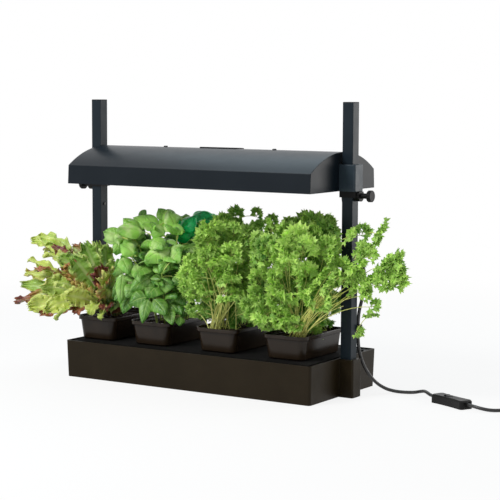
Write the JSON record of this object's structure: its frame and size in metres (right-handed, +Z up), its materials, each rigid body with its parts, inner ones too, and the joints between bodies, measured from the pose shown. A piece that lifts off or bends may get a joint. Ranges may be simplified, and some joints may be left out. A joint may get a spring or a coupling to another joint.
{
  "type": "countertop hydroponic garden",
  "caption": "Self-watering countertop garden: planted pots on a wicking mat over a water tray, with a grow-lamp hood that slides on end posts and clamps with thumb screws.",
  "frame": {"origin": "on the table at the middle of the water tray's flat foot", "axes": "+X along the tray towards the end where the supply cord leaves, +Y to the back, +Z up"},
  "size_m": [1.24, 0.3386, 0.604],
  "materials": {
    "black_plastic": "fine satin black moulding",
    "hood_plastic": "fine satin slate-black moulding",
    "pot_plastic": "satin brown-black moulding",
    "felt": "dark capillary felt",
    "soil": "damp potting soil",
    "foliage_red": "lettuce leaves, green with red patches",
    "foliage_basil": "basil leaves",
    "foliage_parsley": "parsley leaves",
    "steel": "plated steel",
    "white_steel": "white enamel",
    "mirror_aluminium": "bright rolled sheet",
    "white_plastic": "white moulding",
    "board": "circuit board with its parts",
    "lamp_glass": "white coated glass",
    "cord_rubber": "black flexible jacket",
    "brass": "plated brass"
  },
  "bodies": {
    "base": {"reservoir_tray": "black_plastic", "growing_platform": "black_plastic", "capillary_mat": "felt", "right_post": "black_plastic", "left_post": "black_plastic", "right_post_cap": "black_plastic", "left_post_cap": "black_plastic", "right_stop_screw": "steel", "left_stop_screw": "steel", "cord_clip": "black_plastic", "floor_cord": "cord_rubber", "tail_cord": "cord_rubber", "cord_coil": "cord_rubber", "coil_tie": "black_plastic", "plug_body": "black_plastic", "plug_pins": "brass", "switch_base": "black_plastic", "switch_cover": "black_plastic", "switch_contacts": "brass", "switch_screws": "steel", "switch_bushings": "cord_rubber"},
    "hood": {"hood_shell": "hood_plastic", "vent_cover": "black_plastic", "right_sleeve": "black_plastic", "left_sleeve": "black_plastic", "sleeve_screws": "steel", "right_clamp_collar": "black_plastic", "left_clamp_collar": "black_plastic", "lamp_batten": "white_steel", "ballast_board": "board", "lamp_tube": "lamp_glass", "lamp_tube_caps": "mirror_aluminium", "right_lampholder": "white_plastic", "left_lampholder": "white_plastic", "reflector": "mirror_aluminium", "reflector_rivets": "mirror_aluminium", "fixture_clips": "white_steel", "fixture_screws": "steel", "terminal_box": "black_plastic", "cord_gland": "black_plastic", "hood_cord": "cord_rubber"},
    "right_knob": {"right_clamp_knob": "black_plastic", "right_clamp_screw": "steel"},
    "left_knob": {"left_clamp_knob": "black_plastic", "left_clamp_screw": "steel"},
    "rocker": {"switch_rocker": "black_plastic"},
    "planted_pot_1": {"pot_1": "pot_plastic", "soil_1": "soil", "lettuce": "foliage_red"},
    "planted_pot_2": {"pot_2": "pot_plastic", "soil_2": "soil", "basil": "foliage_basil"},
    "planted_pot_3": {"pot_3": "pot_plastic", "soil_3": "soil", "parsley_left": "foliage_parsley"},
    "planted_pot_4": {"pot_4": "pot_plastic", "soil_4": "soil", "parsley_right": "foliage_parsley"}
  },
  "joints": [
    {"name": "hood_slide", "type": "slide", "parent": "base", "child": "hood", "axis": [0, 0, 1], "range_m": [-0.036, 0.12], "deforming": ["hood_cord"]},
    {"name": "right_knob_turn", "type": "hinge", "parent": "hood", "child": "right_knob", "pos_m": [0.36, 0, 0.4145], "axis": [1, 0, 0], "range_deg": [0, 720]},
    {"name": "left_knob_turn", "type": "hinge", "parent": "hood", "child": "left_knob", "pos_m": [-0.36, 0, 0.4145], "axis": [-1, 0, 0], "range_deg": [0, 720]},
    {"name": "rocker_tilt", "type": "hinge", "parent": "base", "child": "rocker", "pos_m": [0.53114, 0.03463, 0.0096], "axis": [0.4226, 0.9063, 0], "range_deg": [-16, 0]},
    {"name": "pot_1_slide", "type": "slide", "parent": "base", "child": "planted_pot_1", "axis": [0, -1, 0], "range_m": [0, 0.11]},
    {"name": "pot_2_slide", "type": "slide", "parent": "base", "child": "planted_pot_2", "axis": [0, -1, 0], "range_m": [0, 0.11]},
    {"name": "pot_3_slide", "type": "slide", "parent": "base", "child": "planted_pot_3", "axis": [0, -1, 0], "range_m": [0, 0.11]},
    {"name": "pot_4_slide", "type": "slide", "parent": "base", "child": "planted_pot_4", "axis": [0, -1, 0], "range_m": [0, 0.11]}
  ]
}
